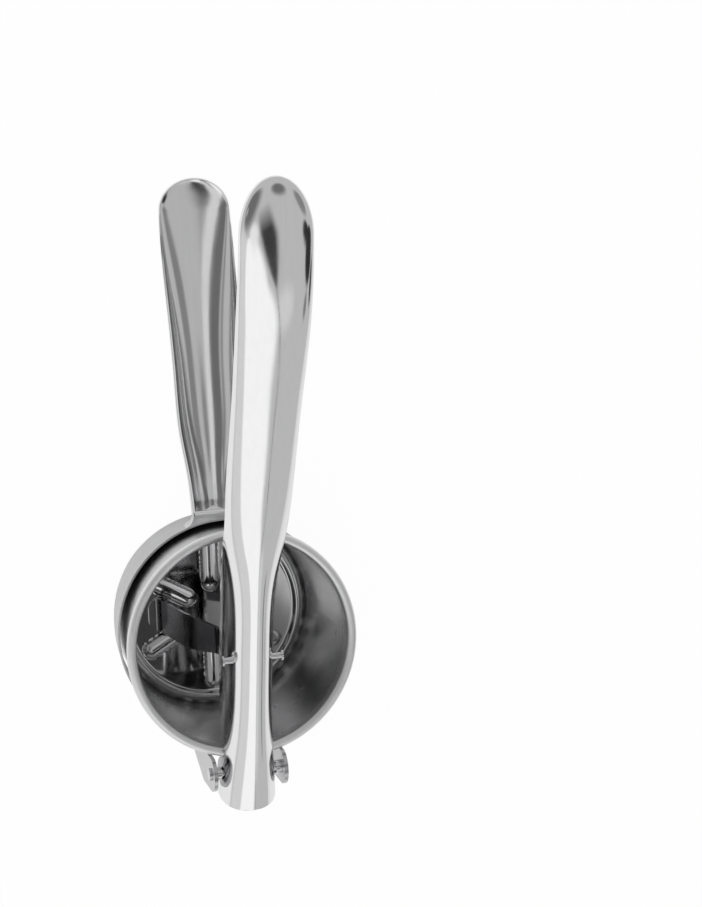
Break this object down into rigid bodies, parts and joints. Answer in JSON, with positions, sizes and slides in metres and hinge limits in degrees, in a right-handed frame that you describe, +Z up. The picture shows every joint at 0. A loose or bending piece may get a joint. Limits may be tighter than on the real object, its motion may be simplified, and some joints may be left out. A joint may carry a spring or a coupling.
{
  "type": "potato ricer",
  "caption": "Hand-held metal potato ricer: perforated cup in a ring with a fixed handle, and a hinged lever that drives a round ribbed presser plate down the cup.",
  "frame": {"origin": "centre of the basket's underside, which is the face that the ricer stands on", "axes": "+Z up the basket's axis to its mouth, +Y out along the handle and the lever, X along the hinge pin"},
  "size_m": [0.1, 0.2755, 0.153],
  "materials": {
    "polished_steel": "polished stainless steel sheet",
    "brushed_steel": "stainless steel sheet, brushed round the ring and along the handle",
    "strap_steel": "satin stainless steel strip",
    "pin_steel": "turned steel pin with riveted heads"
  },
  "bodies": {
    "root": {"holder": "brushed_steel", "hinge_bracket": "brushed_steel", "hinge_pin": "pin_steel", "hinge_washer_left": "pin_steel", "hinge_washer_right": "pin_steel"},
    "basket": {"basket": "polished_steel"},
    "lever": {"lever": "polished_steel", "plunger_pin": "pin_steel"},
    "plunger": {"plunger_strap": "strap_steel", "plunger_disc": "polished_steel"}
  },
  "joints": [
    {"name": "lever_hinge", "type": "hinge", "parent": "root", "child": "lever", "pos_m": [0, -0.0565, 0.0635], "axis": [1, 0, 0], "range_deg": [0, 85]},
    {"name": "plunger_swing", "type": "hinge", "parent": "lever", "child": "plunger", "pos_m": [0, -0.0022, 0.08], "axis": [1, 0, 0], "range_deg": [-39.2, 0]},
    {"name": "basket_turn", "type": "hinge", "parent": "root", "child": "basket", "pos_m": [0, 0, 0], "axis": [0, 0, 1], "continuous": true}
  ],
  "couplings": [
    {"joint": "plunger_swing", "follows": "lever_hinge", "ratio": -0.46}
  ]
}
